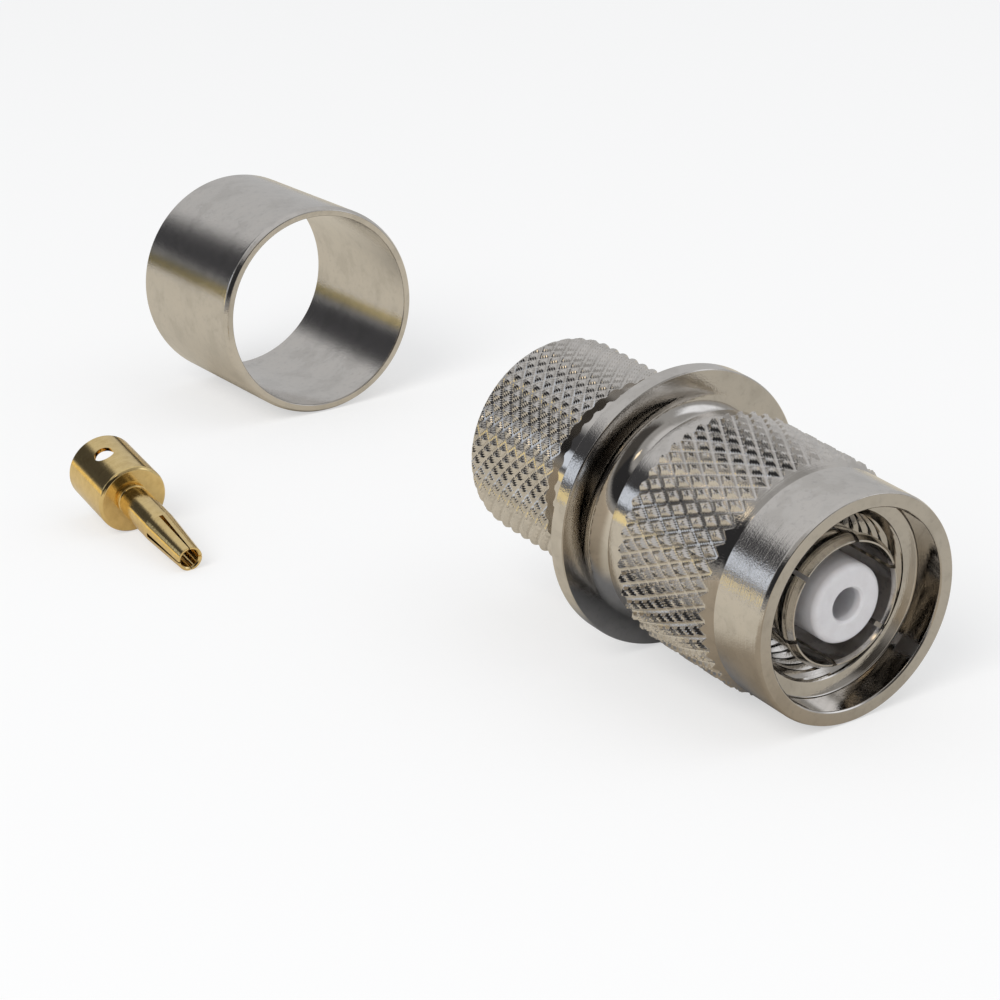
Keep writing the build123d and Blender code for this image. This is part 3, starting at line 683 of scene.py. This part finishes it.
# %% Shader expressions
class Shade:
    """An output socket of a material's nodes."""

    def __init__(self, tree, socket=None):
        self.tree, self.socket = tree, socket

    def node(self, kind, settings=None, values=None, out=0):
        """Adds a node of this kind, sets its settings, then its sockets' values or links, and
        wraps one of its outputs."""
        made = self.tree.nodes.new(kind)
        for name, value in (settings or {}).items():
            if name == "stops":
                ramp = made.color_ramp
                while len(ramp.elements) < len(value):
                    ramp.elements.new(0.5)
                for element, (place, colour) in zip(ramp.elements, value):
                    element.position, element.color = place, (*colour, 1)
            else:
                setattr(made, name, value)
        for name, value in (values or {}).items():
            if isinstance(value, Shade):
                self.tree.links.new(value.socket, made.inputs[name])
            else:
                made.inputs[name].default_value = value
        return Shade(self.tree, made.outputs[out])

    def math(self, operation, *values):
        return self.node("ShaderNodeMath", {"operation": operation}, dict(enumerate(values)))

    def vector(self, operation, *values):
        return self.node("ShaderNodeVectorMath", {"operation": operation},
                         dict(enumerate(values)))

    def __add__(self, other):
        return self.math("ADD", self, other)

    def __sub__(self, other):
        return self.math("SUBTRACT", self, other)

    def __rsub__(self, other):
        return self.math("SUBTRACT", other, self)

    def __mul__(self, other):
        return self.math("MULTIPLY", self, other)

    __radd__, __rmul__ = __add__, __mul__

    def rise(self, low, high):
        """0 below low, 1 above high and smooth between them; it falls where low > high."""
        return self.node("ShaderNodeMapRange", {"interpolation_type": "SMOOTHSTEP"},
                         {"Value": self, "From Min": low, "From Max": high})

    def between(self, low, high, soft):
        """1 from low to high, with both edges soft."""
        return self.rise(low - soft, low + soft) * self.rise(high + soft, high - soft)

    def mix(self, first, second):
        """The first colour where this is 0 and the second where it is 1."""
        first, second = (value if isinstance(value, Shade) else (*value, 1)
                         for value in (first, second))
        return self.node("ShaderNodeMix", {"data_type": "RGBA"},
                         {0: self, 6: first, 7: second}, out=2)

    def hypot(self, other):
        """The distance that this and the other are the two legs of."""
        return self.math("SQRT", self * self + other * other)

    def split(self):
        """The x, y and z of a vector."""
        return [self.node("ShaderNodeSeparateXYZ", {}, {0: self}, out=k) for k in range(3)]

    def noise(self, scale, detail=2.0, rough=0.5):
        """Perlin noise from 0 to 1 at this vector."""
        return self.node("ShaderNodeTexNoise", {}, {
            "Vector": self, "Scale": scale, "Detail": detail, "Roughness": rough})


def join_xyz(shade, x=0.0, y=0.0, z=0.0):
    """A vector of three numbers or expressions."""
    return shade.node("ShaderNodeCombineXYZ", {}, {0: x, 1: y, 2: z})


def object_place(shade):
    """Object coordinates, in metres."""
    return shade.node("ShaderNodeTexCoord", {}, {}, out=3)


def new_material(name):
    """An empty material as a Shade, its Principled shader, and the material."""
    material = bpy.data.materials.new(name)
    material.use_nodes = True
    shader = material.node_tree.nodes["Principled BSDF"]
    return Shade(material.node_tree), shader, material


def feed(shade, shader, **sockets):
    """Links expressions to the shader's sockets, and sets plain numbers on them."""
    for name, value in sockets.items():
        socket = shader.inputs[name.replace("_", " ")]
        if isinstance(value, Shade):
            shade.tree.links.new(value.socket, socket)
        else:
            socket.default_value = (*value, 1) if isinstance(value, tuple) else value


def bump(shade, height, depth, under=None):
    """A Bump node: height is in 0 to 1, and depth is how many metres a height of 1 stands."""
    values = {"Height": height, "Distance": depth, "Strength": 1.0}
    if under is not None:
        values["Normal"] = under
    return shade.node("ShaderNodeBump", {}, values)


def local(shade, place):
    """The piece's own millimetres, from Object coordinates and the piece's 4x4 place."""
    rotation = Matrix((place[:3, :3] / MM).tolist()).to_euler()
    return shade.node("ShaderNodeMapping", {"vector_type": "TEXTURE"}, {
        "Vector": object_place(shade), "Location": place[:3, 3].tolist(), "Rotation": rotation,
        "Scale": (MM, MM, MM)})


# %% [markdown]
# Bright nickel is a warm grey metal. Turning leaves fine rings on it, so its normal varies
# along x and along r, hardly round the axis: that tears the edges of highlights into streaks.
# Electroplating adds a soft orange peel in both directions. Both marks are fainter within
# 7.3 mm of the axis, as in the nut's bore. Handling leaves a faint brown and grey tarnish in
# clouds, small dark specks, and tops of the knurl that are a little paler and rougher.


# %% Nickel
NICKEL, CLOUDED, WORN = (0.72, 0.69, 0.65), (0.67, 0.65, 0.62), (0.78, 0.76, 0.73)
BROWN, GREY, SPECK = (0.44, 0.39, 0.32), (0.33, 0.32, 0.33), (0.16, 0.14, 0.12)
NEAR_AXIS = 0.25


def nickel(name, place, rough, rings=1.0, peel=1.0, tarnish=0.15):
    """Plated nickel of a turned piece. rings, peel and tarnish scale those marks."""
    shade, shader, material = new_material(name)
    own = local(shade, place)
    x, y, z = own.split()
    r = y.hypot(z)
    ring_place = join_xyz(shade, x + y * 0.04, r, z * 0.04)
    fine, coarse = ring_place.noise(11.0, 3.0, 0.6), ring_place.noise(2.6, 2.0, 0.5)
    skin, cloud = own.noise(7.0, 3.0, 0.6), own.noise(0.42, 3.0, 0.62)
    spots = own.noise(2.3, 4.0, 0.7)
    speck = spots.rise(0.64, 0.72)
    crest = shade.node("ShaderNodeAttribute", {"attribute_name": "crest"}, {}, out=2)
    top = crest.rise(0.75, 1.0)
    scuffs = own.noise(14.0, 3.0, 0.7)
    stained = cloud.rise(0.35, 0.7).mix(NICKEL, CLOUDED)
    stained = (cloud.rise(0.5, 0.62) * tarnish).mix(stained, BROWN)
    stained = (spots.rise(0.52, 0.66) * tarnish).mix(stained, GREY)
    stained = (speck * (0.5 * tarnish)).mix(stained, SPECK)
    stained = (top * scuffs.rise(0.4, 0.7) * 0.5).mix(stained, WORN)
    roughness = (rough + cloud.rise(0.3, 0.75) * (0.10 * tarnish) + (fine - 0.5) * 0.05
                 + top * 0.14 + speck * (0.2 * tarnish))
    outside = NEAR_AXIS + r.rise(7.3, 7.48) * (1 - NEAR_AXIS)
    rings_bump = bump(shade, (fine * 0.6 + coarse * 0.4) * outside, 5.5e-6 * rings)
    peel_bump = bump(shade, skin * outside, 6.0e-6 * peel, rings_bump)
    feed(shade, shader, Base_Color=stained, Roughness=roughness, Metallic=1.0,
         Normal=bump(shade, scuffs * top, 7.0e-6, peel_bump))
    return material


# %% [markdown]
# The loose contact is plated with gold, with fine turning streaks. The insulator is the soft
# white of fluoropolymer, which scatters light inside, and shows the faint rings of its
# turning. The gasket is translucent silicone, and the hidden ring is spring bronze.


# %% Gold, fluoropolymer, silicone and bronze
def gold(name, place):
    """Gold plate over turned brass."""
    shade, shader, material = new_material(name)
    own = local(shade, place)
    x, y, z = own.split()
    r = y.hypot(z)
    streaks = join_xyz(shade, x + y * 0.03, r, z * 0.03).noise(14.0, 3.0, 0.6)
    cloud = own.noise(1.6, 3.0, 0.6)
    colour = cloud.rise(0.3, 0.75).mix((0.92, 0.71, 0.34), (0.80, 0.60, 0.27))
    feed(shade, shader, Base_Color=streaks.rise(0.55, 0.8).mix(colour, (0.98, 0.76, 0.40)),
         Roughness=0.06 + cloud * 0.08 + streaks * 0.05, Metallic=1.0,
         Normal=bump(shade, own.noise(6.0), 3.0e-6, bump(shade, streaks, 3.5e-6)))
    return material


def polymer(name, place, colour, shadow, rough, glow):
    """A soft white plastic: faint clouds and turning rings, with light scattered inside."""
    shade, shader, material = new_material(name)
    own = local(shade, place)
    x, y, z = own.split()
    r = y.hypot(z)
    rings = join_xyz(shade, x, r, y * 0.05).noise(7.0, 3.0, 0.6)
    cloud = own.noise(1.1, 3.0, 0.6)
    feed(shade, shader, Base_Color=cloud.rise(0.3, 0.8).mix(colour, shadow),
         Roughness=rough + rings * 0.08, Subsurface_Weight=glow, Subsurface_Scale=0.0006,
         Normal=bump(shade, rings, 3.0e-6))
    shader.inputs["Subsurface Radius"].default_value = (1.0, 0.9, 0.85)
    return material


def bronze(name):
    """Dull spring bronze."""
    shade, shader, material = new_material(name)
    cloud = object_place(shade).noise(900.0, 3.0, 0.6)
    feed(shade, shader, Base_Color=cloud.mix((0.70, 0.45, 0.27), (0.55, 0.34, 0.2)),
         Roughness=0.28 + cloud * 0.15, Metallic=1.0)
    return material


finishes = {
    nut: nickel("nickel_nut", plug_place, 0.045, rings=2.6, peel=1.6),
    body: nickel("nickel_body", plug_place, 0.06, rings=0.6),
    sleeve: nickel("nickel_sleeve", plug_place, 0.12, tarnish=0.4),
    ferrule: nickel("nickel_ferrule", ferrule_place, 0.09, rings=0.7, peel=1.4, tarnish=0.14),
    insulator: polymer("white_fluoropolymer", plug_place, (0.68, 0.67, 0.68),
                       (0.63, 0.61, 0.62), rough=0.38, glow=0.45),
    gasket: polymer("clear_silicone", plug_place, (0.60, 0.58, 0.55), (0.5, 0.48, 0.45),
                    rough=0.3, glow=0.2),
    contact: gold("gold_plate", contact_place),
    frame["nodes"]["retaining_ring"]: bronze("spring_bronze")}
for piece, material in finishes.items():
    piece.data.materials.clear()
    piece.data.materials.append(material)
print(len(finishes), "finishes")

# %% [markdown]
# The photograph was taken in a room, and bright metal shows that room: a grey ceiling, a dim
# front with dark furniture, two windows, a warm lamp, a gold strip low on the left, and the
# warm top of the table, which is dark under the flange. A studio does the same with a tent and
# cards, so here is a tent round the set that only reflections see, with the cards painted on
# it, and a warm card under the object, with painted shadow under the flange and on the
# camera's side. The light itself is soft and white: an even world and two large lamps.

# %% Stage
TO_DEGREES = 180 / np.pi
FLOOR_RADIUS, CARD_RADIUS, TENT_RADIUS = 2.0, 0.55, 0.6
CARD_HEIGHT = 0.00004
FLOOR_SHADOW = 0.45


def stage_object(name, mesh, material, only_reflected):
    """A stage object, which is not part of the plug."""
    thing = bpy.data.objects.new(name, mesh)
    bpy.context.scene.collection.objects.link(thing)
    thing.data.materials.append(material)
    if only_reflected:
        thing.visible_camera = thing.visible_diffuse = thing.visible_shadow = False
        thing.visible_volume_scatter = False


def round_plate(name, radius, height, columns=96):
    """A flat disc as a fan."""
    turn = np.radians(full_turn(columns)[:-1])
    rim = np.column_stack([radius * np.cos(turn), radius * np.sin(turn), 0 * turn + height])
    mesh = bpy.data.meshes.new(name)
    mesh.from_pydata(rim.tolist(), [], [list(range(columns))])
    return mesh


def white_where_seen(shade, shader_socket, keep_shadow):
    """Mixes white light of strength 1 over a shader for camera, glossy and transmission
    rays. keep_shadow is the share of the lit surface that stays."""
    rays = [shade.node("ShaderNodeLightPath", {}, {}, out=name)
            for name in ("Is Camera Ray", "Is Glossy Ray", "Is Transmission Ray")]
    seen = shade.math("MINIMUM", rays[0] + rays[1] + rays[2], 1.0)
    white = shade.node("ShaderNodeEmission", {}, {"Color": (1, 1, 1, 1), "Strength": 1.0})
    return shade.node("ShaderNodeMixShader", {}, {
        0: seen * (1 - keep_shadow), 1: shader_socket, 2: white})


def output(shade, result):
    """Links a shader to the material's or world's output."""
    target = next(node for node in shade.tree.nodes if node.bl_idname.startswith(
        "ShaderNodeOutput"))
    shade.tree.links.new(result.socket, target.inputs["Surface"])


shade, shader, floor_material = new_material("white_floor")
feed(shade, shader, Base_Color=(0.93, 0.93, 0.93), Roughness=0.8, Specular_IOR_Level=0.0)
output(shade, white_where_seen(shade, Shade(shade.tree, shader.outputs[0]), FLOOR_SHADOW))
stage_object("floor", round_plate("floor", FLOOR_RADIUS, 0.0), floor_material, False)

# The card's colour goes by the direction from the plug: darker from 0 to 75 degrees, and painted
# shadow from -80 to 4 degrees, on the camera's side. An oval patch of painted shadow lies under
# the flange.
shade, shader, card_material = new_material("warm_card")
coordinates = object_place(shade)
card_x, card_y, _ = coordinates.split()
card_azimuth = shade.math("ARCTAN2", card_y, card_x - 0.03) * TO_DEGREES
card = coordinates.noise(40.0, 3.0, 0.6).mix((0.70, 0.64, 0.53), (0.64, 0.585, 0.49))
card = card_azimuth.between(0.0, 75.0, 14.0).mix(card, (0.52, 0.48, 0.41))
# Painted shadow on the camera's side of the card.
card = card_azimuth.between(-80.0, 4.0, 16.0).mix(card, (0.40, 0.34, 0.26))
# Painted shadow: a dark bluish oval on the card under the flange.
under = ((card_x - 0.029) * 90.0).hypot((card_y - 0.001) * 120.0)
feed(shade, shader, Base_Color=under.rise(1.2, 0.7).mix(card, (0.29, 0.30, 0.32)),
     Roughness=0.9, Specular_IOR_Level=0.0)
stage_object("warm_card", round_plate("warm_card", CARD_RADIUS, CARD_HEIGHT), card_material, True)

# Each card on the tent has its azimuth from, to and softness, the same of its elevation, and
# its colour. A colour over 1 is a light source.
CARDS = {
    "dark corner": ((-170, -126, 5), (8, 43, 5), (0.06, 0.06, 0.065)),
    "black middle": ((-114, -22, 6), (9, 45, 5), (0.03, 0.03, 0.032)),
    "dark right": ((-30, 14, 6), (9, 45, 5), (0.07, 0.065, 0.06)),
    "blue window": ((-139, -126, 1.5), (13, 26, 2), (0.78, 0.85, 0.97)),
    "warm lamp": ((-58, -44, 2), (49, 57, 2), (1.7, 1.42, 1.02)),
    "white window": ((32, 66, 7), (17, 40, 5), (1.0, 1.02, 1.07))}
shade, _, tent_material = new_material("light_tent")
dx, dy, dz = shade.vector("NORMALIZE", object_place(shade)).split()
azimuth = shade.math("ARCTAN2", dy, dx) * TO_DEGREES
elevation = shade.math("ARCSINE", dz) * TO_DEGREES
wall = elevation.rise(0.0, 80.0).mix((0.52, 0.52, 0.525), (0.64, 0.64, 0.65))
wall = elevation.rise(0.0, -14.0).mix(wall, (0.78, 0.72, 0.60))
front_wall = azimuth.between(-112.0, 70.0, 14.0) * elevation.rise(78.0, 60.0)
front_colour = elevation.rise(10.0, -4.0).mix((0.36, 0.355, 0.35), (0.30, 0.26, 0.20))
wall = front_wall.mix(wall, front_colour)
for sides, ends, colour in CARDS.values():
    wall = (azimuth.between(*sides) * elevation.between(*ends)).mix(wall, colour)
strip = azimuth.between(-164.0, -129.0, 2.5) * elevation.between(1.0, 7.5, 1.0)
strip_colour = azimuth.rise(-158.0, -147.0).mix((0.10, 0.09, 0.05), (0.98, 0.80, 0.42))
wall = strip.mix(wall, strip_colour)
output(shade, shade.node("ShaderNodeEmission", {}, {"Color": wall, "Strength": 1.0}))
tent = bpy.data.meshes.new("light_tent")
tent_turns = full_turn(96)
tent_rise = np.radians(np.linspace(-90, 90, 49))[:, None]
tent_grid = on_axis(TENT_RADIUS * np.sin(tent_rise), TENT_RADIUS * np.cos(tent_rise), tent_turns)
tent_grid = tent_grid[:, :-1, [1, 2, 0]]
index = np.arange(tent_grid.shape[0] * tent_grid.shape[1]).reshape(tent_grid.shape[:2])
index = np.hstack([index, index[:, :1]])
faces = np.stack([index[:-1, :-1], index[:-1, 1:], index[1:, 1:], index[1:, :-1]], axis=2)
tent.from_pydata(tent_grid.reshape(-1, 3).tolist(), [], faces.reshape(-1, 4).tolist())
tent.shade_smooth()
stage_object("light_tent", tent, tent_material, True)
print("stage ready")

# %% Lamps and world
LAMP_DISTANCE = 0.9
world = bpy.data.worlds.new("studio")
bpy.context.scene.world = world
world.use_nodes = True
shade = Shade(world.node_tree)
soft = Shade(world.node_tree, world.node_tree.nodes["Background"].outputs[0])
world.node_tree.nodes["Background"].inputs["Color"].default_value = (0.95, 0.97, 1.0, 1)
world.node_tree.nodes["Background"].inputs["Strength"].default_value = 0.6
output(shade, white_where_seen(shade, soft, 0.0))


def lamp(name, azimuth, elevation, size, watts, colour):
    """A round area lamp that points at the middle of the set. It lights plastic and the
    floor, while metal sees the tent instead."""
    light = bpy.data.lights.new(name, "AREA")
    light.shape, light.size, light.energy, light.color = "DISK", size, watts, colour
    thing = bpy.data.objects.new(name, light)
    a, e = np.radians(azimuth), np.radians(elevation)
    towards = np.array([np.cos(a) * np.cos(e), np.sin(a) * np.cos(e), np.sin(e)])
    thing.location = (LAMP_DISTANCE * towards).tolist()
    thing.rotation_euler = thing.location.to_track_quat("Z", "Y").to_euler()
    thing.visible_glossy = False
    bpy.context.scene.collection.objects.link(thing)


lamp("key_lamp", -64.0, 42.0, 0.6, 4.4, (1.0, 0.98, 0.95))
lamp("fill_lamp", 40.0, 55.0, 0.8, 1.0, (0.97, 0.98, 1.0))
bpy.context.scene.view_settings.view_transform = "Standard"
